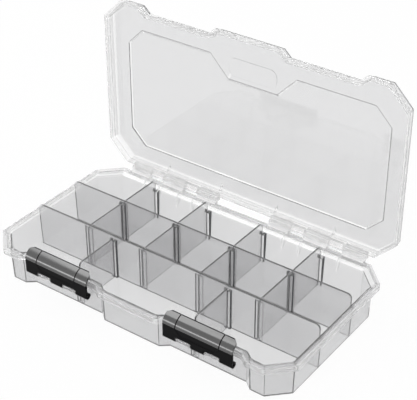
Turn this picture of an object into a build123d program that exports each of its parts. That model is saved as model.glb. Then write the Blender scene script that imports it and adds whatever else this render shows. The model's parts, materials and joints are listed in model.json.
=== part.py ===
from build123d import *
from math import radians, sin, tan
import os

# The box stands on its underside at Z = 0, centred on the tray. X runs along the
# length, Y from the latches at the front to the hinge at the back. All in mm.

# Tray rim and body
LENGTH = 320.0
DEPTH = 172.0
CORNER_CUT = 20.4
RIM_TOP = 36.5
RIM_LAND = 3.6
RIM_SLOPE = 3.0
RIM_SLOPE_ANGLE = 61.8
FLANGE_HEIGHT = 5.7
FLANGE_SKIN = 1.8
SHOULDER = 3.0
BODY_LENGTH = 308.2
BODY_FRONT = 78.3
BODY_BACK = 77.6
BODY_CUT = 17.2
WALL = 1.8
FLOOR = 2.0
DRAFT = 1.9
UNDERSIDE_RADIUS = 2.5
PLAN_RADIUS = 2.5
MOUTH_RADIUS = 8.0
SHOULDER_ANGLE = 45.0

# Joined features sink into each other, cutters pass the face they cut, and edges are
# picked by their place within a small reach
SINK = 0.3
PASS = 1.0
REACH = 0.1

# Recess that each latch stands in
LATCH_X = 76.5
RECESS_DEPTH = 6.0
RECESS_WIDTH = 78.0
RECESS_SLOPE = 7.5

# Two long walls and the loose dividers between them
LONG_WALL = 2.0
LONG_WALL_Y = (-22.4, 27.5)
LONG_WALL_LENGTH = 306.6
LONG_WALL_TAIL = 0.9
LONG_WALL_TOP = RIM_TOP + 9.3
ROW_Y = (-47.0, 2.55, 52.2)
COLUMN_PITCH = 62.3
FRONT_DIVIDER_X = 62.8
DIVIDER_THICKNESS = 1.6
DIVIDER_LENGTH = 46.6
DIVIDER_TAPER = 0.4
DIVIDER_TOP = RIM_TOP + 7.6
DIVIDER_LIFT = 0.05
TOP_CORNER = 4.0
SLOT_GAP = 2.2
RIB_WIDTH = 3.2
RIB_TIP = 2.2
RIB_DEPTH = 2.0
RIB_CHAMFER = 1.6
RIB_ROOT = 1.2
RIB_DROP = 2.4
MOUTH_DROP = 0.4
CLEARANCE = 0.3

# Hinge: the axis lies behind the rim, each group of knuckles has its own pin
HINGE_Y = 90.5
HINGE_Z = RIM_TOP + 1.3
KNUCKLE_RADIUS = 2.7
LID_KNUCKLE_X = (60.3, 101.0)
LID_KNUCKLE_WIDTH = 14.0
TRAY_KNUCKLE_SPANS = ((30.0, 52.3), (68.3, 93.0), (109.0, 131.5))
KNUCKLE_WEB_ROOT = 2.0
KNUCKLE_WEB_DROP = 5.6
KNUCKLE_WEB_STEP = 0.2
HINGE_PIN_RADIUS = 1.2
HINGE_BORE_END = 0.5
PIN_END_GAP = 0.1
RUNNING_FIT = 0.05
GUSSET = 1.6
GUSSET_GAP = 1.8
GUSSET_HEIGHT = 17.0
GUSSET_ROOT = 0.6
GUSSET_SEAT = 0.8
STOP_REACH = 4.4
STOP_BELOW = 2.0
STOP_ABOVE = 3.8

# Lid
LID_GAP = CLEARANCE
LID_HEIGHT = 12.0
LID_SKIN = 2.0
LID_DRAFT = 5.0
LID_BODY_LENGTH = 318.6
LID_BODY_FRONT = 83.2
LID_BODY_CUT = 19.6
LID_BACK = 86.4
LIP_THICKNESS = 2.5
LID_NOTCH_WIDTH = 71.0
LID_NOTCH_DEPTH = 7.2
LID_REBATE = 0.7
LID_REBATE_HEIGHT = 4.5
LID_EDGE_RADIUS = 2.4
OPEN_ANGLE = 90.0
PANEL_LENGTH = 281.0
PANEL_FRONT = 56.0
PANEL_BACK = 69.0
PANEL_CUT = 16.5
PANEL_RISE = 1.5
PANEL_CORNER = 3.0
PANEL_SLOPE_ANGLE = 45.0
PANEL_INSET = 0.8
PANEL_NOTCH_FRONT = 92.0
PANEL_NOTCH_BACK = 52.0
PANEL_NOTCH_DEPTH = 20.5
NAME_PLATE_LENGTH = 51.0
NAME_PLATE_WIDTH = 18.0
NAME_PLATE_Y = -48.3
NAME_PLATE_RISE = 0.6
NAME_PLATE_RADIUS = 7.0
LID_RIB = 1.5
LID_RIB_REACH = 6.8
LID_RIB_DROP = 5.6
LID_RIB_HOLLOW = 0.7
LID_ARM_ROOT = 1.6

# Latch, drawn shut: its front face stands clear of the rim and its hook reaches over the lid's lip
PIVOT_Y = -84.3
PIVOT_Z = RIM_TOP - 11.0
LATCH_WIDTH = 70.0
LATCH_SKIN = 2.0
LATCH_BOSS_RADIUS = 3.0
LATCH_FACE_Y = -87.2
CAP_RADIUS = 10.8
CAP_Y = -76.8
CAP_Z = RIM_TOP - 0.6
CAP_OVERHANG = 0.5
FOLD_Z = RIM_TOP + 1.7
HOOK_BACK_Y = -77.3
HOOK_TIP = 2.0
HOOK_TIP_Z = RIM_TOP + LID_GAP + LIP_THICKNESS + CLEARANCE
HOOK_CORNER = 4.2
HOOK_CORNER_DEPTH = 3.4
LATCH_KNUCKLE_X = 14.5
LATCH_CUT_WIDTH = 16.0
LATCH_CUT_TOP = PIVOT_Z + 3.0
LATCH_KNUCKLE_RADIUS = 2.6
LATCH_KNUCKLE_WIDTH = 14.4
LATCH_ARM_ROOT = 0.6
LATCH_ARM_RISE = 1.5
LATCH_ARM_DROP = 3.0
LATCH_PIN_RADIUS = 1.1
LATCH_PIN_LENGTH = 67.0
GRIP_WIDTH = 44.0
GRIP_CHAMFER = 5.0
GRIP_TOP_Z = FOLD_Z - 0.6
GRIP_BOTTOM_Z = RIM_TOP - 4.6
SEAM_WIDTH = 0.8
SEAM_DEPTH = 0.5
FACE_SEAM_WIDTH = 0.56
FACE_SEAM_DEPTH = 0.3


def box_between(x, y, z):
    """Block from three (low, high) pairs."""
    return Pos(sum(x) / 2, sum(y) / 2, sum(z) / 2) * Box(x[1] - x[0], y[1] - y[0], z[1] - z[0])


def rod(radius, x, y, z):
    """Cylinder along X between the (low, high) pair x."""
    return Pos(sum(x) / 2, y, z) * Rot(0, 90, 0) * Cylinder(radius, x[1] - x[0])


def slab(side, x, width):
    """Side view drawn in (Y, Z), thickened along X about x."""
    return extrude(Plane.YZ.offset(x) * side, width / 2, both=True)


def plan(length, front, back, cut, notch_width, notch_depth):
    """Eight-sided outline with a notch in front of each latch."""
    half = notch_width / 2
    right = [
        (LATCH_X - half - RECESS_SLOPE, -front),
        (LATCH_X - half, notch_depth - front),
        (LATCH_X + half, notch_depth - front),
        (LATCH_X + half + RECESS_SLOPE, -front),
        (length / 2 - cut, -front),
        (length / 2, cut - front),
        (length / 2, back - cut),
        (length / 2 - cut, back),
    ]
    left = [(-x, y) for x, y in reversed(right)]
    return make_face(Polyline(*right, *left, close=True))


def rim_plan():
    face = plan(LENGTH, DEPTH / 2, DEPTH / 2, CORNER_CUT, RECESS_WIDTH, RECESS_DEPTH)
    return fillet(face.vertices(), PLAN_RADIUS)


def body_plan():
    return plan(BODY_LENGTH, BODY_FRONT, BODY_BACK, BODY_CUT, RECESS_WIDTH, RECESS_DEPTH)


def mouth_plan():
    """Inner edge of the rim's flat land, which curls round the ends of the latch recesses."""
    reach = DEPTH / 2 - RIM_LAND
    face = plan(
        LENGTH - 2 * RIM_LAND, reach, reach, CORNER_CUT - RIM_LAND / 2, RECESS_WIDTH + RIM_LAND, RECESS_DEPTH
    )
    recess_end = LATCH_X + (RECESS_WIDTH + RIM_LAND) / 2
    curls = [v for v in face.vertices() if v.Y < 0 and abs(v.X) < recess_end + REACH and v.Y > REACH - reach]
    return fillet(curls, MOUTH_RADIUS)


def inset(face, distance):
    """Outline moved inwards with its corners kept sharp."""
    return offset(face, -distance, kind=Kind.INTERSECTION)


def raised(face, bottom, height):
    """Solid with upright walls above a plan, starting at height bottom."""
    return extrude(Pos(0, 0, bottom) * face, height)


def drafted(face, bottom, height, lean):
    """Solid above a plan whose walls lean inwards on the way up, outwards where lean is negative."""
    solid = raised(face, bottom, height)
    walls = solid.faces().filter_by(Axis.Z, reverse=True)
    return draft(walls, Plane.XY.offset(bottom), lean)


def divider_places():
    """Middle (x, y) of every divider, with the name of its node."""
    places = []
    for row, y in (("back", ROW_Y[2]), ("middle", ROW_Y[1])):
        for number in range(4):
            places.append((f"divider_{row}_{number + 1}", (number - 1.5) * COLUMN_PITCH, y))
    for number, side in enumerate((-1, 1)):
        places.append((f"divider_front_{number + 1}", side * FRONT_DIVIDER_X, ROW_Y[0]))
    return places


def slot_ribs(x, face_y, towards, top):
    """Two ribs that stand off a wall at face_y and leave a slot between them at x."""
    root = face_y - towards * RIB_ROOT
    tip = face_y + towards * RIB_DEPTH
    ribs = []
    for side in (-1, 1):
        inner = x + side * SLOT_GAP / 2
        outer = inner + side * RIB_WIDTH
        tip_outer = inner + side * RIB_TIP
        base = make_face(Polyline((inner, root), (outer, root), (tip_outer, tip), (inner, tip), close=True))
        rib = raised(base, FLOOR - SINK, top - FLOOR + SINK)
        tip_edge = rib.faces().sort_by(Axis.Z)[-1].edges().sort_by(Axis.Y)[0 if towards < 0 else -1]
        ribs.append(chamfer(tip_edge, RIB_CHAMFER))
    return ribs


def all_slot_ribs():
    """Slots for every divider, on whichever walls its two ends meet."""
    wall_top = LONG_WALL_TOP - RIB_DROP
    outer_top = RIM_TOP - RIM_SLOPE - MOUTH_DROP
    half = LONG_WALL / 2
    front_face = RECESS_DEPTH - BODY_FRONT + WALL
    back_face = BODY_BACK - WALL
    ribs = []
    for name, x, y in divider_places():
        if y == ROW_Y[2]:
            ribs += slot_ribs(x, LONG_WALL_Y[1] + half, 1, wall_top)
            ribs += slot_ribs(x, back_face, -1, outer_top)
        elif y == ROW_Y[1]:
            ribs += slot_ribs(x, LONG_WALL_Y[0] + half, 1, wall_top)
            ribs += slot_ribs(x, LONG_WALL_Y[1] - half, -1, wall_top)
        else:
            ribs += slot_ribs(x, front_face, 1, outer_top)
            ribs += slot_ribs(x, LONG_WALL_Y[0] - half, -1, wall_top)
    return ribs


def long_wall(y):
    """Wall across the tray, free above the rim with its top corners rounded."""
    span_y = (y - LONG_WALL / 2, y + LONG_WALL / 2)
    half = LONG_WALL_LENGTH / 2
    tail = half + LONG_WALL_TAIL
    free = box_between((-half, half), span_y, (FLOOR - SINK, LONG_WALL_TOP))
    corners = free.edges().filter_by(Axis.Y).group_by(Axis.Z)[-1]
    free = fillet(corners, TOP_CORNER)
    joined = box_between((-tail, tail), span_y, (FLOOR - SINK, RIM_TOP - RIM_SLOPE - MOUTH_DROP))
    return free + joined


def tray_knuckle(low, high):
    """Fixed hinge knuckle between two X positions, with the pad that stops the open lid."""
    barrel = rod(KNUCKLE_RADIUS, (low, high), HINGE_Y, HINGE_Z)
    web_height = (HINGE_Z - KNUCKLE_WEB_DROP, RIM_TOP - KNUCKLE_WEB_STEP)
    web = box_between((low, high), (DEPTH / 2 - KNUCKLE_WEB_ROOT, HINGE_Y), web_height)
    pad_height = (HINGE_Z - STOP_BELOW, HINGE_Z + STOP_ABOVE)
    pad = box_between((low, high), (HINGE_Y, HINGE_Y + STOP_REACH), pad_height)
    return barrel + web + pad


def back_gusset(x):
    """Three-cornered rib below the flange, beside a lid knuckle."""
    top = RIM_TOP - FLANGE_SKIN + SINK
    root = BODY_BACK - GUSSET_ROOT
    seat = DEPTH / 2 - GUSSET_SEAT
    side = make_face(Polyline(
        (root, top),
        (seat, top),
        (seat, RIM_TOP - FLANGE_HEIGHT),
        (root, RIM_TOP - GUSSET_HEIGHT),
        close=True,
    ))
    return slab(side, x, GUSSET)


def latch_bracket(x):
    """Arm and knuckle on the front of the tray that carry a latch pin."""
    span = (x - LATCH_KNUCKLE_WIDTH / 2, x + LATCH_KNUCKLE_WIDTH / 2)
    barrel = rod(LATCH_KNUCKLE_RADIUS, span, PIVOT_Y, PIVOT_Z)
    wall_y = RECESS_DEPTH - BODY_FRONT + LATCH_ARM_ROOT
    side = make_face(Polyline(
        (PIVOT_Y, PIVOT_Z + LATCH_KNUCKLE_RADIUS),
        (wall_y, PIVOT_Z + LATCH_KNUCKLE_RADIUS + LATCH_ARM_RISE),
        (wall_y, PIVOT_Z - LATCH_KNUCKLE_RADIUS - LATCH_ARM_DROP),
        (PIVOT_Y, PIVOT_Z - LATCH_KNUCKLE_RADIUS),
        close=True,
    ))
    return barrel + slab(side, x, LATCH_KNUCKLE_WIDTH)


def tray():
    """Clear tray: body, flange turned down all round, sloping mouth, long walls, slots, knuckles."""
    body = drafted(body_plan(), 0, RIM_TOP, -DRAFT)
    body = fillet(body.edges().group_by(Axis.Z)[0], UNDERSIDE_RADIUS)
    flange = raised(rim_plan(), RIM_TOP - FLANGE_HEIGHT, FLANGE_HEIGHT)
    flange -= raised(inset(rim_plan(), FLANGE_SKIN), RIM_TOP - FLANGE_HEIGHT, FLANGE_HEIGHT - FLANGE_SKIN)
    ceiling = RIM_TOP - FLANGE_SKIN
    wall_top = inset(body_plan(), -(ceiling - SHOULDER) * tan(radians(DRAFT)))
    shoulder = drafted(wall_top, ceiling - SHOULDER, SHOULDER, -SHOULDER_ANGLE)
    solid = body + flange + shoulder
    for side in (-1, 1):
        for low, high in TRAY_KNUCKLE_SPANS:
            solid += tray_knuckle(*sorted((side * low, side * high)))
        for middle in LID_KNUCKLE_X:
            for edge in (-1, 1):
                solid += back_gusset(side * middle + edge * (LID_KNUCKLE_WIDTH / 2 + GUSSET_GAP))
        for edge in (-1, 1):
            solid += latch_bracket(side * LATCH_X + edge * LATCH_KNUCKLE_X)
    solid -= drafted(inset(body_plan(), WALL), FLOOR, RIM_TOP, -DRAFT)
    throat = inset(mouth_plan(), RIM_SLOPE * tan(radians(RIM_SLOPE_ANGLE)))
    solid -= drafted(throat, RIM_TOP - RIM_SLOPE, RIM_SLOPE, -RIM_SLOPE_ANGLE)
    for y in LONG_WALL_Y:
        solid += long_wall(y)
    for rib in all_slot_ribs():
        solid += rib
    for side in (-1, 1):
        solid -= rod(HINGE_PIN_RADIUS, hinge_span(side, HINGE_BORE_END), HINGE_Y, HINGE_Z)
        solid -= latch_pin(side * LATCH_X)
    return solid


def panel_plan():
    """Raised middle of the lid, stepped back around the name plate."""
    half = PANEL_LENGTH / 2
    right = [
        (PANEL_NOTCH_BACK / 2, PANEL_NOTCH_DEPTH - PANEL_FRONT),
        (PANEL_NOTCH_FRONT / 2, -PANEL_FRONT),
        (half - PANEL_CUT, -PANEL_FRONT),
        (half, PANEL_CUT - PANEL_FRONT),
        (half, PANEL_BACK - PANEL_CUT),
        (half - PANEL_CUT, PANEL_BACK),
    ]
    left = [(-x, y) for x, y in reversed(right)]
    return make_face(Polyline(*right, *left, close=True))


def lid_knuckle(x):
    """Turning knuckle with the short arm that joins it to the back of the lid."""
    span = (x - LID_KNUCKLE_WIDTH / 2, x + LID_KNUCKLE_WIDTH / 2)
    barrel = rod(KNUCKLE_RADIUS, span, HINGE_Y, HINGE_Z)
    arm_height = (RIM_TOP + LID_GAP, HINGE_Z + KNUCKLE_RADIUS)
    arm = box_between(span, (LID_BACK - LID_ARM_ROOT, HINGE_Y), arm_height)
    return barrel + arm


def lid_rib(x):
    """Small gusset between the lid's back wall and its top, in line with a row of dividers."""
    wall = LID_BACK - LID_SKIN
    top = RIM_TOP + LID_GAP + LID_HEIGHT - LID_SKIN
    middle = (wall - LID_RIB_REACH / 2 + LID_RIB_HOLLOW, top - LID_RIB_DROP / 2 + LID_RIB_HOLLOW)
    corner = Polyline(
        (wall - LID_RIB_REACH, top),
        (wall - LID_RIB_REACH, top + SINK),
        (wall + SINK, top + SINK),
        (wall + SINK, top - LID_RIB_DROP),
        (wall, top - LID_RIB_DROP),
    )
    free_edge = ThreePointArc((wall, top - LID_RIB_DROP), middle, (wall - LID_RIB_REACH, top))
    return slab(make_face(Wire(corner.edges() + [free_edge])), x, LID_RIB)


def lid_shut():
    """Lid as it lies on the closed tray."""
    base = RIM_TOP + LID_GAP
    top = base + LID_HEIGHT
    skirt = plan(LID_BODY_LENGTH, LID_BODY_FRONT, LID_BACK, LID_BODY_CUT, LID_NOTCH_WIDTH, LID_NOTCH_DEPTH)
    lip = plan(LENGTH, DEPTH / 2, LID_BACK, CORNER_CUT, LID_NOTCH_WIDTH, RECESS_DEPTH)
    solid = drafted(skirt, base, LID_HEIGHT, LID_DRAFT)
    solid = fillet(solid.edges().group_by(Axis.Z)[-1], LID_EDGE_RADIUS)
    solid += drafted(fillet(panel_plan().vertices(), PANEL_CORNER), top, PANEL_RISE, PANEL_SLOPE_ANGLE)
    solid += raised(fillet(lip.vertices(), PLAN_RADIUS), base, LIP_THICKNESS)
    solid -= drafted(inset(skirt, LID_SKIN), base, LID_HEIGHT - LID_SKIN, LID_DRAFT)
    solid -= drafted(inset(skirt, LID_SKIN - LID_REBATE), base, LID_REBATE_HEIGHT, LID_DRAFT)
    solid -= drafted(inset(panel_plan(), PANEL_INSET), top - LID_SKIN, PANEL_RISE, PANEL_SLOPE_ANGLE)
    plate = RectangleRounded(NAME_PLATE_LENGTH, NAME_PLATE_WIDTH, NAME_PLATE_RADIUS)
    solid += raised(Pos(0, NAME_PLATE_Y, 0) * plate, top - SINK, NAME_PLATE_RISE + SINK)
    for number in range(4):
        solid += lid_rib((number - 1.5) * COLUMN_PITCH)
    for side in (-1, 1):
        for middle in LID_KNUCKLE_X:
            solid += lid_knuckle(side * middle)
    bore = HINGE_PIN_RADIUS + RUNNING_FIT
    half = LENGTH / 2
    return solid - rod(bore, (-half, half), HINGE_Y, HINGE_Z)


def lid():
    """Lid swung open about the hinge axis."""
    to_axis = Pos(0, HINGE_Y, HINGE_Z)
    back_again = Pos(0, -HINGE_Y, -HINGE_Z)
    return to_axis * Rot(-OPEN_ANGLE, 0, 0) * back_again * lid_shut()


def latch_side_view():
    """Section of the latch: straight face, round cap, hook that drops behind the lip."""
    inner_y = LATCH_FACE_Y + LATCH_SKIN
    cap_outer = CAP_RADIUS
    cap_inner = CAP_RADIUS - LATCH_SKIN
    cap_front = (CAP_Y - cap_outer, CAP_Z)
    fold = (CAP_Y - (cap_outer ** 2 - (FOLD_Z - CAP_Z) ** 2) ** 0.5, FOLD_Z)
    top = (HOOK_BACK_Y, CAP_Z + (cap_outer ** 2 - (HOOK_BACK_Y - CAP_Y) ** 2) ** 0.5)
    tip_front = HOOK_BACK_Y - HOOK_TIP
    roof = (tip_front, CAP_Z + (cap_inner ** 2 - (tip_front - CAP_Y) ** 2) ** 0.5)
    inner_fold_y = CAP_Y - (cap_inner ** 2 - (FOLD_Z - CAP_Z) ** 2) ** 0.5
    slant = sin(radians(45))
    outer_arc = ThreePointArc(
        fold, (CAP_Y - cap_outer * slant, CAP_Z + cap_outer * slant), top
    )
    inner_arc = ThreePointArc(
        roof, (CAP_Y - cap_inner * slant, CAP_Z + cap_inner * slant), (inner_fold_y, FOLD_Z)
    )
    edges = [
        Line((LATCH_FACE_Y, PIVOT_Z), (LATCH_FACE_Y, FOLD_Z - CAP_OVERHANG)),
        Line((LATCH_FACE_Y, FOLD_Z - CAP_OVERHANG), fold),
        outer_arc,
        Line(top, (HOOK_BACK_Y, HOOK_TIP_Z)),
        Line((HOOK_BACK_Y, HOOK_TIP_Z), (tip_front, HOOK_TIP_Z)),
        Line((tip_front, HOOK_TIP_Z), roof),
        inner_arc,
        Line((inner_fold_y, FOLD_Z), (inner_y, FOLD_Z - LATCH_SKIN)),
        Line((inner_y, FOLD_Z - LATCH_SKIN), (inner_y, PIVOT_Z)),
        Line((inner_y, PIVOT_Z), (LATCH_FACE_Y, PIVOT_Z)),
    ]
    return make_face(Wire(edges))


def grip_seams(x):
    """Grooves that outline the grip panel on the cap and down the face."""
    half = GRIP_WIDTH / 2
    seams = []
    for side in (-1, 1):
        middle = x + side * half
        span = (middle - SEAM_WIDTH / 2, middle + SEAM_WIDTH / 2)
        ring = rod(CAP_RADIUS + PASS, span, CAP_Y, CAP_Z) - rod(CAP_RADIUS - SEAM_DEPTH, span, CAP_Y, CAP_Z)
        along = (CAP_Y - 2 * CAP_RADIUS, HOOK_BACK_Y + PASS)
        height = (FOLD_Z - SEAM_WIDTH / 2, CAP_Z + 2 * CAP_RADIUS)
        seams.append(ring & box_between(span, along, height))
    outline = Polyline(
        (x - half, GRIP_TOP_Z),
        (x - half + GRIP_CHAMFER, GRIP_BOTTOM_Z),
        (x + half - GRIP_CHAMFER, GRIP_BOTTOM_Z),
        (x + half, GRIP_TOP_Z),
    )
    strip = trace(outline, FACE_SEAM_WIDTH)
    face_plane = Plane(origin=(0, LATCH_FACE_Y, 0), x_dir=(1, 0, 0), z_dir=(0, -1, 0))
    seams.append(extrude(face_plane * strip, FACE_SEAM_DEPTH, both=True))
    return seams


def latch(x):
    """Latch shut against the tray: three pivot bosses below, two gaps for the tray's knuckles."""
    span = (x - LATCH_WIDTH / 2, x + LATCH_WIDTH / 2)
    solid = slab(latch_side_view(), x, LATCH_WIDTH)
    solid += rod(LATCH_BOSS_RADIUS, span, PIVOT_Y, PIVOT_Z)
    past_boss = 2 * LATCH_BOSS_RADIUS
    for side in (-1, 1):
        middle = x + side * LATCH_KNUCKLE_X
        gap = (middle - LATCH_CUT_WIDTH / 2, middle + LATCH_CUT_WIDTH / 2)
        across = (PIVOT_Y - past_boss, PIVOT_Y + past_boss)
        solid -= box_between(gap, across, (PIVOT_Z - past_boss, LATCH_CUT_TOP))
        end = x + side * (LATCH_WIDTH / 2 + REACH)
        corner = make_face(Polyline(
            (end - side * HOOK_CORNER, HOOK_BACK_Y + REACH),
            (end, HOOK_BACK_Y - HOOK_CORNER_DEPTH),
            (end, HOOK_BACK_Y + REACH),
            close=True,
        ))
        solid -= raised(corner, FOLD_Z, CAP_RADIUS)
    for seam in grip_seams(x):
        solid -= seam
    bore = (span[0] - PASS, span[1] + PASS)
    return solid - rod(LATCH_PIN_RADIUS + RUNNING_FIT, bore, PIVOT_Y, PIVOT_Z)


def latch_pin(x):
    half = LATCH_PIN_LENGTH / 2
    return rod(LATCH_PIN_RADIUS, (x - half, x + half), PIVOT_Y, PIVOT_Z)


def hinge_span(side, end):
    """From the first to the last knuckle of one group, less an end at both."""
    reach = sorted((side * TRAY_KNUCKLE_SPANS[0][0], side * TRAY_KNUCKLE_SPANS[-1][1]))
    return (reach[0] + end, reach[1] - end)


def hinge_pin(side):
    """Pin through one group of hinge knuckles."""
    return rod(HINGE_PIN_RADIUS, hinge_span(side, HINGE_BORE_END + PIN_END_GAP), HINGE_Y, HINGE_Z)


def divider(x, y):
    """Loose cross divider: its ends lean in towards the floor and its top corners are round."""
    half = DIVIDER_LENGTH / 2
    bottom = FLOOR + DIVIDER_LIFT
    side = make_face(Polyline(
        (y - half + DIVIDER_TAPER, bottom),
        (y + half - DIVIDER_TAPER, bottom),
        (y + half, DIVIDER_TOP),
        (y - half, DIVIDER_TOP),
        close=True,
    ))
    side = fillet(side.vertices().group_by(Axis.Y)[-1], TOP_CORNER)
    return slab(side, x, DIVIDER_THICKNESS)


def main():
    os.makedirs("parts", exist_ok=True)
    nodes = {
        "tray": tray(),
        "lid": lid(),
        "left_latch": latch(-LATCH_X),
        "right_latch": latch(LATCH_X),
        "left_latch_pin": latch_pin(-LATCH_X),
        "right_latch_pin": latch_pin(LATCH_X),
        "left_hinge_pin": hinge_pin(-1),
        "right_hinge_pin": hinge_pin(1),
    }
    for name, x, y in divider_places():
        nodes[name] = divider(x, y)
    for name, solid in nodes.items():
        export_step(solid, f"parts/{name}.step")
        print(name, len(solid.solids()), round(solid.volume), solid.bounding_box())


if __name__ == "__main__":
    main()
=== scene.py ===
import json
import math

import bpy
from bpy.props import FloatProperty, FloatVectorProperty, PointerProperty
from bpy.types import Operator, Panel, PropertyGroup
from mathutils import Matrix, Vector

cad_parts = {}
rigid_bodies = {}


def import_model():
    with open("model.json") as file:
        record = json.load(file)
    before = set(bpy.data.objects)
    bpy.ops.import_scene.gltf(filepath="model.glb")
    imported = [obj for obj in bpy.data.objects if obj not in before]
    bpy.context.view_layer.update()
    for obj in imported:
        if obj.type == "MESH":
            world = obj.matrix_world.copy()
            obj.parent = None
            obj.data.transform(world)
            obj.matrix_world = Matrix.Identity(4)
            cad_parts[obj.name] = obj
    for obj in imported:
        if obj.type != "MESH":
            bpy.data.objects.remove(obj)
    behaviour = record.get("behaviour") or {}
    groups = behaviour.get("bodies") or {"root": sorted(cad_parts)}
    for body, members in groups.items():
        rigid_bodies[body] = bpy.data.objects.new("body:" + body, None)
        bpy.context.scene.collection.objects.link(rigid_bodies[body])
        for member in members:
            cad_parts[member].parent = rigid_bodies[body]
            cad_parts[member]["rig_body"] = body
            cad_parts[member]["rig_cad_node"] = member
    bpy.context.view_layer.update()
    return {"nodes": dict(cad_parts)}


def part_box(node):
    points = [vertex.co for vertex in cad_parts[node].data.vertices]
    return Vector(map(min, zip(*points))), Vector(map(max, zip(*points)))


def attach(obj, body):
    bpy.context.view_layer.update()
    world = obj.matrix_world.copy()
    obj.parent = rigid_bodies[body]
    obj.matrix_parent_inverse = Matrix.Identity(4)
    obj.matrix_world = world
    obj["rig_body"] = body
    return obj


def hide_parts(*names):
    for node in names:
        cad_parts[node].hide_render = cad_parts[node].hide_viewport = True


bl_info = {
    "name": "Organizer box",
    "version": (1, 0, 0),
    "blender": (4, 5, 0),
    "location": "3D View > Sidebar > Organizer box",
    "description": "Finishes a clear organizer box with black latches and sets it in a plain white studio",
    "category": "Object",
}

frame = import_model()
MM = 0.001
WELD_DISTANCE = 0.01 * MM
FLAT_ANGLE = math.radians(0.5)
EDGE_ANGLE = math.radians(20)
EDGE_SEGMENTS = 2
FLATNESS_WEIGHT = 80
FLOOR_SIZE = 8.0
FLOOR_GAP = 0.2 * MM
SENSOR_WIDTH = 36.0
WHITE = (1, 1, 1, 1)
# Face marks: the first paints shade on the slot ribs and the tops of the long walls, the second paints light
# on the rim, the lid's skirt, the hinge and the pins.
RIB_SHADE_MARK = "rib"
PAINTED_LIGHT_MARK = "bright"

# Places of the colour sockets on a Mix node, whose sockets share their names
MIX_FACTOR = 0
MIX_FIRST = 6
MIX_SECOND = 7
MIX_RESULT = 2

LATCH_NODES = ["left_latch", "right_latch"]
CLEAR_NODES = [name for name in frame["nodes"] if name not in LATCH_NODES]
DIVIDER_NODES = [name for name in CLEAR_NODES if name.startswith("divider")]


class ClearPlastic(PropertyGroup):
    """The see-through plastic of the tray, the lid, the dividers and the pins"""

    tint: FloatVectorProperty(
        name="Tint", description="Colour that thick plastic takes on", subtype="COLOR",
        size=3, min=0, max=1, default=(0.10, 0.105, 0.11),
    )
    depth_of_tint: FloatProperty(
        name="Depth of tint", description="How quickly the plastic darkens with thickness, per metre",
        default=4.0, min=0,
    )
    surface_tint: FloatVectorProperty(
        name="Surface tint", description="What each surface lets through", subtype="COLOR",
        size=3, min=0, max=1, default=(0.82, 0.82, 0.825),
    )
    clearness: FloatProperty(
        name="Clearness", description="Share of light that passes a surface unscattered", default=0.9,
        min=0, max=1,
    )
    # Painted shade: this colour darkens the slot ribs and the tops of the long walls, standing in for their
    # dark refractions.
    rib_painted_shade: FloatVectorProperty(
        name="Rib tint", description="What the slot ribs and the tops of the long walls let through",
        subtype="COLOR", size=3, min=0, max=1, default=(0.1, 0.1, 0.105),
    )
    # Painted light: this white brightens the rim, the lid's skirt, the hinge and the pins, standing in for
    # their bright look.
    painted_light_tint: FloatVectorProperty(
        name="Bright tint", description="What the rim, the lid's skirt and the hinge let through",
        subtype="COLOR", size=3, min=0, max=1, default=(1.0, 1.0, 1.0),
    )
    # Painted light: on the same faces a share of the surface is left out, so the white backdrop shows
    # straight through and brightens them.
    painted_light_straight_through: FloatProperty(
        name="Straight through",
        description="Share of light that the rim, the lid's skirt and the hinge let pass unbent",
        default=0.36, min=0, max=1,
    )
    # Painted shade: this colour darkens surfaces as they turn edge on to the view, standing in for the dark
    # outlines of glass.
    painted_outline_shade: FloatVectorProperty(
        name="Outline tint", description="What surfaces seen edge on let through",
        subtype="COLOR", size=3, min=0, max=1, default=(0.4, 0.4, 0.405),
    )
    painted_outline_start: FloatProperty(
        name="Outline start", description="How far a surface turns away before its outline tint begins",
        default=0.72, min=0, max=1,
    )
    gloss_roughness: FloatProperty(
        name="Roughness", description="Roughness of the moulded surface", default=0.04, min=0, max=1,
    )
    roughness_change: FloatProperty(
        name="Roughness change", description="How much the roughness varies over the surface",
        default=0.02, min=0, max=1,
    )
    marks_per_metre: FloatProperty(
        name="Flow marks", description="How many flow marks there are in a metre", default=40.0, min=0,
    )
    mark_height: FloatProperty(
        name="Height of flow marks", description="How far the flow marks rise", unit="LENGTH",
        default=0.01 * MM, min=0,
    )
    bending: FloatProperty(
        name="Refraction", description="Index of refraction of the plastic", default=1.5, min=1, max=2,
    )
    edge_radius: FloatProperty(
        name="Edge radius", description="Rounding along the moulded edges", unit="LENGTH",
        default=0.3 * MM, min=0,
    )


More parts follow.
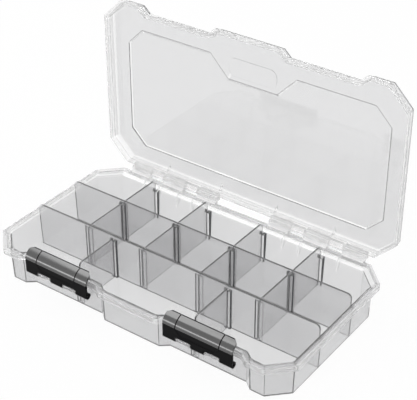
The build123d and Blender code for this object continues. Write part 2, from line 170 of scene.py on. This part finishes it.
class LatchPlastic(PropertyGroup):
    """The opaque black plastic of the latches"""

    colour: FloatVectorProperty(
        name="Colour", description="Colour of the moulded latch", subtype="COLOR",
        size=3, min=0, max=1, default=(0.004, 0.004, 0.0045),
    )
    face_shine: FloatProperty(
        name="Face shine", description="How strongly the latch mirrors under its polish", default=0.05,
        min=0, max=1,
    )
    gloss_roughness: FloatProperty(
        name="Roughness", description="Roughness of the latch's face", default=0.35, min=0, max=1,
    )
    roughness_change: FloatProperty(
        name="Roughness change", description="How much the roughness varies over the latch",
        default=0.08, min=0, max=1,
    )
    marks_per_metre: FloatProperty(
        name="Grain", description="How many marks of the fine grain there are in a metre",
        default=900.0, min=0,
    )
    mark_height: FloatProperty(
        name="Height of the grain", description="How far the fine grain rises", unit="LENGTH",
        default=0.01 * MM, min=0,
    )
    polish_roughness: FloatProperty(
        name="Cap roughness", description="Roughness of the polished cap", default=0.16, min=0, max=1,
    )
    polish_bending: FloatProperty(
        name="Cap shine", description="Index of refraction of the polish on the cap", default=2.0,
        min=1, max=3,
    )
    polish_height: FloatProperty(
        name="Height of the fold", description="The cap above this height is polished", unit="LENGTH",
        default=38.0 * MM,
    )
    seam_place: FloatProperty(
        name="Seam place", description="From the middle of a latch to the seams of its grip panel",
        unit="LENGTH", default=22.0 * MM,
    )
    seam_width: FloatProperty(
        name="Seam width", description="Half the width of the matt line along a seam", unit="LENGTH",
        default=0.5 * MM,
    )
    edge_width: FloatProperty(
        name="Back edge", description="Width of the matt line along the cap's back edge", unit="LENGTH",
        default=0.9 * MM,
    )
    edge_radius: FloatProperty(
        name="Edge radius", description="Rounding along the latch's edges", unit="LENGTH",
        default=0.25 * MM, min=0,
    )


class Studio(PropertyGroup):
    """Camera and light"""

    aim: FloatVectorProperty(
        name="Aim", description="Point that the camera looks at", subtype="XYZ", unit="LENGTH",
        size=3, default=(-0.03774, 0.08665, 0.0365),
    )
    azimuth: FloatProperty(
        name="Azimuth", description="How far the camera stands round to the right", subtype="ANGLE",
        default=math.radians(36.0),
    )
    elevation: FloatProperty(
        name="Elevation", description="How far the camera looks down", subtype="ANGLE",
        default=math.radians(32.98),
    )
    distance: FloatProperty(
        name="Distance", description="From the camera to the point it looks at", unit="LENGTH",
        default=1.15617,
    )
    lens: FloatProperty(
        name="Lens", description="Focal length in millimetres for a 36 mm wide sensor", default=104.97,
    )
    key_strength: FloatProperty(
        name="Overhead lamp", description="Power of the lamp above the box in watts", default=5.0,
    )
    front_strength: FloatProperty(
        name="Front lamp", description="Power of the lamp in front of the latches in watts", default=2.2,
    )
    fill: FloatProperty(
        name="Fill", description="Brightness of the light from all round", default=0.75,
    )
    floor_share: FloatProperty(
        name="Floor brightness", description="Share of plain white in what is seen of the floor",
        default=0.94, min=0, max=1,
    )


def empty_tree(owner, output_kind):
    """Node tree of a material or a world that holds its output and nothing else."""
    owner.use_nodes = True
    tree = owner.node_tree
    tree.nodes.clear()
    return tree, tree.nodes.new(output_kind)


def new_group(name, inputs, outputs):
    """Node group with number sockets of the given names."""
    group = bpy.data.node_groups.new(name, "ShaderNodeTree")
    for direction, sockets in (("INPUT", inputs), ("OUTPUT", outputs)):
        for socket in sockets:
            group.interface.new_socket(socket, in_out=direction, socket_type="NodeSocketFloat")
    return group


def add_node(tree, kind, **values):
    """New shader node with its inputs set by name."""
    node = tree.nodes.new(kind)
    for name, value in values.items():
        node.inputs[name.replace("_", " ")].default_value = value
    return node


def add_group(tree, group, values):
    """Node group placed in a material with its inputs set by name."""
    node = tree.nodes.new("ShaderNodeGroup")
    node.node_tree = group
    for name, value in values.items():
        node.inputs[name].default_value = value
    return node


def feed(tree, socket, value):
    """Gives a socket its value, or links it where the value comes from another node."""
    if isinstance(value, bpy.types.NodeSocket):
        tree.links.new(value, socket)
    else:
        socket.default_value = value


def calculated(tree, operation, *values):
    """Result of a Math node on numbers and sockets."""
    step = tree.nodes.new("ShaderNodeMath")
    step.operation = operation
    for socket, value in zip(step.inputs, values):
        feed(tree, socket, value)
    return step.outputs["Value"]


def mixed_colours(tree, factor, first, second):
    """Colour that goes from the first to the second as the factor rises."""
    mix = tree.nodes.new("ShaderNodeMix")
    mix.data_type = "RGBA"
    feed(tree, mix.inputs[MIX_FACTOR], factor)
    feed(tree, mix.inputs[MIX_FIRST], first)
    feed(tree, mix.inputs[MIX_SECOND], second)
    return mix.outputs[MIX_RESULT]


def mixed_shaders(tree, factor, first, second):
    """Shader that goes from the first to the second as the factor rises."""
    mix = tree.nodes.new("ShaderNodeMixShader")
    for socket, value in zip(mix.inputs, (factor, first, second)):
        tree.links.new(value, socket)
    return mix.outputs["Shader"]


def face_mark(tree, name):
    """Share that is stored on each face under a name."""
    node = tree.nodes.new("ShaderNodeAttribute")
    node.attribute_name = name
    return node.outputs["Fac"]


def moulded_skin():
    """Node group: faint flow marks and gloss changes of an injection-moulded surface."""
    name = "Moulded skin"
    if name in bpy.data.node_groups:
        return bpy.data.node_groups[name]
    group = new_group(name, ("Roughness", "Roughness change", "Marks per metre"), ("Roughness", "Height"))
    inputs = group.nodes.new("NodeGroupInput")
    outputs = group.nodes.new("NodeGroupOutput")
    place = group.nodes.new("ShaderNodeTexCoord")
    marks = add_node(group, "ShaderNodeTexNoise", Detail=3.0, Roughness=0.55)
    group.links.new(place.outputs["Object"], marks.inputs["Vector"])
    group.links.new(inputs.outputs["Marks per metre"], marks.inputs["Scale"])
    mean_mark = 0.5
    centred = calculated(group, "SUBTRACT", marks.outputs["Fac"], mean_mark)
    change = inputs.outputs["Roughness change"]
    roughness = calculated(group, "MULTIPLY_ADD", centred, change, inputs.outputs["Roughness"])
    group.links.new(roughness, outputs.inputs["Roughness"])
    group.links.new(marks.outputs["Fac"], outputs.inputs["Height"])
    return group


def add_skin(tree, shader, look):
    """Places the moulded skin in a material, feeding its roughness and normal."""
    skin = add_group(tree, moulded_skin(), {
        "Roughness": look.gloss_roughness,
        "Roughness change": look.roughness_change,
        "Marks per metre": look.marks_per_metre,
    })
    bump = add_node(tree, "ShaderNodeBump", Strength=1.0, Distance=look.mark_height)
    tree.links.new(skin.outputs["Roughness"], shader.inputs["Roughness"])
    tree.links.new(skin.outputs["Height"], bump.inputs["Height"])
    tree.links.new(bump.outputs["Normal"], shader.inputs["Normal"])


def tint_with_painted_light_and_shade(tree, look):
    """Surface tint of the plastic, with painted shade on ribs, wall tops and outlines seen edge on, and
    painted light on the rim, the skirt and the hinge.
    """
    plain = mixed_colours(tree, face_mark(tree, RIB_SHADE_MARK), (*look.surface_tint, 1), (*look.rib_painted_shade, 1))
    # Painted shade: the view direction decides how dark the outlines are.
    turned = tree.nodes.new("ShaderNodeLayerWeight")
    outline = add_node(tree, "ShaderNodeMapRange", From_Min=look.painted_outline_start)
    tree.links.new(turned.outputs["Facing"], outline.inputs["Value"])
    with_painted_outline = mixed_colours(tree, outline.outputs["Result"], plain, (*look.painted_outline_shade, 1))
    return mixed_colours(tree, face_mark(tree, PAINTED_LIGHT_MARK), with_painted_outline, (*look.painted_light_tint, 1))


def clear_material(look):
    """Clear plastic that is tinted at its surfaces and in its depth, with painted light and painted shade on
    marked faces, and casts a pale shadow.
    """
    material = bpy.data.materials.new("Clear plastic")
    tree, output = empty_tree(material, "ShaderNodeOutputMaterial")
    shader = tree.nodes.new("ShaderNodeBsdfPrincipled")
    tree.links.new(tint_with_painted_light_and_shade(tree, look), shader.inputs["Base Color"])
    shader.inputs["Transmission Weight"].default_value = look.clearness
    shader.inputs["IOR"].default_value = look.bending
    add_skin(tree, shader, look)
    # Painted light: the marked faces are partly left out, so the backdrop shows through them.
    bright = face_mark(tree, PAINTED_LIGHT_MARK)
    cover = calculated(tree, "MULTIPLY_ADD", bright, -look.painted_light_straight_through, 1.0)
    tree.links.new(cover, shader.inputs["Alpha"])
    shadow = add_node(tree, "ShaderNodeBsdfTransparent", Color=(*look.surface_tint, 1))
    in_shadow = tree.nodes.new("ShaderNodeLightPath").outputs["Is Shadow Ray"]
    surface = mixed_shaders(tree, in_shadow, shader.outputs["BSDF"], shadow.outputs["BSDF"])
    tree.links.new(surface, output.inputs["Surface"])
    body = add_node(
        tree, "ShaderNodeVolumeAbsorption", Color=(*look.tint, 1), Density=look.depth_of_tint,
    )
    tree.links.new(body.outputs["Volume"], output.inputs["Volume"])
    return material


def polished_cap():
    """Node group: 1 on a closed latch's cap, 0 below the fold, along the seams and on the back edge."""
    name = "Polished cap"
    if name in bpy.data.node_groups:
        return bpy.data.node_groups[name]
    sizes = ("Fold height", "Latch middle", "Seam place", "Seam width", "Back edge")
    group = new_group(name, sizes, ("Mask",))
    inputs = group.nodes.new("NodeGroupInput")
    outputs = group.nodes.new("NodeGroupOutput")
    place = group.nodes.new("ShaderNodeTexCoord")
    apart = group.nodes.new("ShaderNodeSeparateXYZ")
    group.links.new(place.outputs["Object"], apart.inputs["Vector"])
    to_side = calculated(group, "ABSOLUTE", apart.outputs["X"])
    along_latch = calculated(group, "SUBTRACT", to_side, inputs.outputs["Latch middle"])
    from_middle = calculated(group, "ABSOLUTE", along_latch)
    past_seam = calculated(group, "SUBTRACT", from_middle, inputs.outputs["Seam place"])
    from_seam = calculated(group, "ABSOLUTE", past_seam)
    off_seam = calculated(group, "GREATER_THAN", from_seam, inputs.outputs["Seam width"])
    above = calculated(group, "GREATER_THAN", apart.outputs["Z"], inputs.outputs["Fold height"])
    ahead = calculated(group, "LESS_THAN", apart.outputs["Y"], inputs.outputs["Back edge"])
    on_cap = calculated(group, "MULTIPLY", above, ahead)
    mask = calculated(group, "MULTIPLY", on_cap, off_seam)
    group.links.new(mask, outputs.inputs["Mask"])
    return group


def latch_material(look):
    """Black plastic with a fine grain, polished on the cap."""
    material = bpy.data.materials.new("Black plastic")
    tree, output = empty_tree(material, "ShaderNodeOutputMaterial")
    shader = tree.nodes.new("ShaderNodeBsdfPrincipled")
    tree.links.new(shader.outputs["BSDF"], output.inputs["Surface"])
    shader.inputs["Base Color"].default_value = (*look.colour, 1)
    shader.inputs["Specular IOR Level"].default_value = look.face_shine
    shader.inputs["Coat Roughness"].default_value = look.polish_roughness
    shader.inputs["Coat IOR"].default_value = look.polish_bending
    add_skin(tree, shader, look)
    low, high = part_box("right_latch")
    cap = add_group(tree, polished_cap(), {
        "Fold height": look.polish_height,
        "Latch middle": (low[0] + high[0]) / 2,
        "Seam place": look.seam_place,
        "Seam width": look.seam_width,
        "Back edge": high[1] - look.edge_width,
    })
    tree.links.new(cap.outputs["Mask"], shader.inputs["Coat Weight"])
    return material


def copy_of_node(node, name):
    """Copy of a CAD node's object that belongs to no body yet."""
    bpy.ops.object.select_all(action="DESELECT")
    node.select_set(True)
    bpy.context.view_layer.objects.active = node
    bpy.ops.object.duplicate()
    piece = bpy.context.active_object
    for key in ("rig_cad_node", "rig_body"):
        if key in piece:
            del piece[key]
    piece.parent = None
    piece.name = name
    return piece


def merge_facets(piece):
    """Welds the vertices of the active piece and joins its facets into whole flat faces."""
    bpy.ops.object.mode_set(mode="EDIT")
    bpy.ops.mesh.select_all(action="SELECT")
    bpy.ops.mesh.remove_doubles(threshold=WELD_DISTANCE)
    bpy.ops.mesh.dissolve_limited(angle_limit=FLAT_ANGLE)
    bpy.ops.object.mode_set(mode="OBJECT")


def round_edges(piece, radius):
    """Rounds the edges of the active piece and shades it smooth, with its flat faces kept flat."""
    bevel = piece.modifiers.new("Edges", "BEVEL")
    bevel.width = radius
    bevel.segments = EDGE_SEGMENTS
    bevel.limit_method = "ANGLE"
    bevel.angle_limit = EDGE_ANGLE
    bpy.ops.object.modifier_apply(modifier=bevel.name)
    bpy.ops.object.shade_smooth_by_angle(angle=EDGE_ANGLE)
    flat = piece.modifiers.new("Flat faces", "WEIGHTED_NORMAL")
    flat.weight = FLATNESS_WEIGHT
    flat.keep_sharp = True
    bpy.ops.object.modifier_apply(modifier=flat.name)


def soften(node_name, material, radius):
    """Copy of a CAD node with rounded edges and its material, standing for the node."""
    node = frame["nodes"][node_name]
    body = node["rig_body"]
    piece = copy_of_node(node, f"{node_name}_moulding")
    merge_facets(piece)
    round_edges(piece, radius)
    piece.data.materials.clear()
    piece.data.materials.append(material)
    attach(piece, body)
    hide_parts(node_name)
    return piece


def slot_places():
    """Where the ends of each divider stand in their slots, as (x, y) pairs."""
    places = []
    for name in DIVIDER_NODES:
        low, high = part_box(name)
        middle = (low[0] + high[0]) / 2
        places += [(middle, low[1]), (middle, high[1])]
    return places


def near_slot(point, places):
    """Whether a point is as close to a divider's end as the ribs of its slot are."""
    rib_reach = 5 * MM
    rib_depth = 2.6 * MM
    return any(abs(point.x - x) < rib_reach and abs(point.y - y) < rib_depth for x, y in places)


def face_width(mesh, face):
    """Width of a long narrow face, from its area and outline."""
    edges = [mesh.vertices[a].co - mesh.vertices[b].co for a, b in face.edge_keys]
    return 2 * face.area / sum(edge.length for edge in edges)


def mark(piece, name, share_of):
    """Stores a share from 0 to 1 on each face, for the material to read."""
    marks = piece.data.attributes.new(name, "FLOAT", "FACE")
    for face in piece.data.polygons:
        marks.data[face.index].value = share_of(face, face_width(piece.data, face))


def mark_tray_light_and_shade(tray):
    """Painted shade on the slot ribs and the tops of the long walls, painted light on the rim, gussets and
    knuckles.
    """
    places = slot_places()
    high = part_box("tray")[1]
    rib_width = 4 * MM
    rib_turn = 0.4
    top_turn = 0.9
    top_level = high[2] - 3 * MM
    wall_top_shade = 0.1
    rim_face_width = 7 * MM
    rim_level = high[2] / 2
    side_rim = high[0] - 9 * MM
    back_rim = 76 * MM
    front_rim = -71 * MM
    corner_rim = high[0] + 56 * MM

    # Painted shade: full on rib faces at the slots, a little on the tops of the long walls.
    def rib_shade_share(face, width):
        if width > rib_width:
            return 0.0
        if near_slot(face.center, places) and abs(face.normal.x) > rib_turn:
            return 1.0
        return wall_top_shade if face.normal.z > top_turn and face.center.z > top_level else 0.0

    # Painted light: narrow rim faces beyond the walls, except those with painted shade.
    def rim_painted_light_share(face, width):
        x, y, z = abs(face.center.x), face.center.y, face.center.z
        past_walls = x > side_rim or y > back_rim or y < front_rim or x + abs(y) > corner_rim
        if width > rim_face_width or z < rim_level or not past_walls:
            return 0.0
        return 0.0 if rib_shade_share(face, width) else 1.0

    mark(tray, RIB_SHADE_MARK, rib_shade_share)
    mark(tray, PAINTED_LIGHT_MARK, rim_painted_light_share)


def mark_lid_painted_light(lid):
    """Painted light on everything but the plate itself: skirt, lip, knuckles and the step round the panel."""
    narrow = 3 * MM
    plate_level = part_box("lid")[1][1] - 4 * MM

    def painted_light_share(face, width):
        return float(width < narrow or face.center.y < plate_level)

    mark(lid, PAINTED_LIGHT_MARK, painted_light_share)


class BOX_OT_clear_parts(Operator):
    """Makes the tray, the lid, the dividers and the pins of clear plastic"""

    bl_idname = "box.clear_parts"
    bl_label = "Clear plastic parts"

    def execute(self, context):
        look = context.scene.clear_plastic
        material = clear_material(look)
        for name in CLEAR_NODES:
            piece = soften(name, material, look.edge_radius)
            if name == "tray":
                mark_tray_light_and_shade(piece)
            elif name == "lid":
                mark_lid_painted_light(piece)
            elif name.endswith("hinge_pin"):
                # Painted light over the whole pin.
                mark(piece, PAINTED_LIGHT_MARK, lambda face, width: 1.0)
        return {"FINISHED"}


class BOX_OT_latches(Operator):
    """Makes the two latches of black plastic"""

    bl_idname = "box.latches"
    bl_label = "Latches"

    def execute(self, context):
        look = context.scene.latch_plastic
        material = latch_material(look)
        for name in LATCH_NODES:
            soften(name, material, look.edge_radius)
        return {"FINISHED"}


def white_where_seen(tree, direct_share):
    """Mix factor: a share where seen directly, 1 where mirrored or seen through plastic, otherwise 0."""
    path = tree.nodes.new("ShaderNodeLightPath")
    direct = calculated(tree, "MULTIPLY", path.outputs["Is Camera Ray"], direct_share)
    mirrored = path.outputs["Is Glossy Ray"]
    through = path.outputs["Is Transmission Ray"]
    by_plastic = calculated(tree, "MAXIMUM", mirrored, through)
    return calculated(tree, "MAXIMUM", direct, by_plastic)


def studio_world(fill):
    """Soft light from all round that looks plain white."""
    world = bpy.data.worlds.new("White studio")
    bpy.context.scene.world = world
    tree, output = empty_tree(world, "ShaderNodeOutputWorld")
    light = add_node(tree, "ShaderNodeBackground", Color=WHITE, Strength=fill)
    white = add_node(tree, "ShaderNodeBackground", Color=WHITE, Strength=1.0)
    seen = white_where_seen(tree, 1.0)
    surface = mixed_shaders(tree, seen, light.outputs["Background"], white.outputs["Background"])
    tree.links.new(surface, output.inputs["Surface"])


def studio_floor(share):
    """White floor just under the box, with a faint shadow."""
    bpy.ops.object.select_all(action="DESELECT")
    bpy.ops.mesh.primitive_plane_add(size=FLOOR_SIZE, location=(0, 0, -FLOOR_GAP))
    floor = bpy.context.active_object
    floor.name = "floor"
    material = bpy.data.materials.new("White floor")
    tree, output = empty_tree(material, "ShaderNodeOutputMaterial")
    paper = add_node(tree, "ShaderNodeBsdfDiffuse", Color=WHITE)
    white = add_node(tree, "ShaderNodeEmission", Color=WHITE, Strength=1.0)
    seen = white_where_seen(tree, share)
    surface = mixed_shaders(tree, seen, paper.outputs["BSDF"], white.outputs["Emission"])
    tree.links.new(surface, output.inputs["Surface"])
    floor.data.materials.append(material)


def area_lamp(name, place, aim, width, depth, power):
    """Rectangular lamp that points from its place to its aim."""
    lamp = bpy.data.lights.new(name, "AREA")
    lamp.shape = "RECTANGLE"
    lamp.size = width
    lamp.size_y = depth
    lamp.energy = power
    holder = bpy.data.objects.new(name, lamp)
    bpy.context.scene.collection.objects.link(holder)
    holder.location = place
    direction = Vector(aim) - Vector(place)
    holder.rotation_euler = direction.to_track_quat("-Z", "Y").to_euler()


def studio_lamps(studio):
    """The overhead lamp shows in the latches' caps, the front lamp as a streak near their fold."""
    area_lamp(
        "overhead", place=(-0.75, -0.1, 1.35), aim=(0, 0, 0), width=1.4, depth=0.5,
        power=studio.key_strength,
    )
    area_lamp(
        "front", place=(-0.74, -1.3, 0.26), aim=(0, -0.09, 0.04), width=0.9, depth=0.2,
        power=studio.front_strength,
    )


def studio_camera(studio):
    """Camera that stands away from its aim by the studio's angles and distance."""
    level = math.cos(studio.elevation)
    away = Vector((
        math.sin(studio.azimuth) * level,
        -math.cos(studio.azimuth) * level,
        math.sin(studio.elevation),
    ))
    data = bpy.data.cameras.new("Camera")
    data.lens = studio.lens
    data.sensor_width = SENSOR_WIDTH
    data.sensor_fit = "HORIZONTAL"
    camera = bpy.data.objects.new("Camera", data)
    bpy.context.scene.collection.objects.link(camera)
    camera.location = Vector(studio.aim) + away * studio.distance
    camera.rotation_euler = (math.pi / 2 - studio.elevation, 0, studio.azimuth)
    bpy.context.scene.camera = camera


class BOX_OT_stage(Operator):
    """Sets the floor, the lamps, the world and the camera"""

    bl_idname = "box.stage"
    bl_label = "Stage"

    def execute(self, context):
        studio = context.scene.studio
        studio_world(studio.fill)
        studio_floor(studio.floor_share)
        studio_lamps(studio)
        studio_camera(studio)
        context.scene.view_settings.view_transform = "Standard"
        return {"FINISHED"}


class BOX_PT_panel(Panel):
    """Runs the steps one by one and shows the settings of the plastics and the studio"""

    bl_idname = "BOX_PT_panel"
    bl_label = "Organizer box"
    bl_space_type = "VIEW_3D"
    bl_region_type = "UI"
    bl_category = "Organizer box"

    def draw(self, context):
        for step in STEPS:
            self.layout.operator(step.bl_idname)
        for name in SETTINGS:
            settings = getattr(context.scene, name)
            for key in settings.__annotations__:
                self.layout.prop(settings, key)


SETTINGS = {"clear_plastic": ClearPlastic, "latch_plastic": LatchPlastic, "studio": Studio}
STEPS = (BOX_OT_clear_parts, BOX_OT_latches, BOX_OT_stage)


def register():
    for settings in SETTINGS.values():
        bpy.utils.register_class(settings)
    for name, settings in SETTINGS.items():
        setattr(bpy.types.Scene, name, PointerProperty(type=settings))
    for step in STEPS:
        bpy.utils.register_class(step)
    bpy.utils.register_class(BOX_PT_panel)


def unregister():
    bpy.utils.unregister_class(BOX_PT_panel)
    for step in reversed(STEPS):
        bpy.utils.unregister_class(step)
    for name, settings in SETTINGS.items():
        delattr(bpy.types.Scene, name)
        bpy.utils.unregister_class(settings)


def main():
    register()
    bpy.ops.box.clear_parts()
    bpy.ops.box.latches()
    bpy.ops.box.stage()


if __name__ == "__main__":
    main()
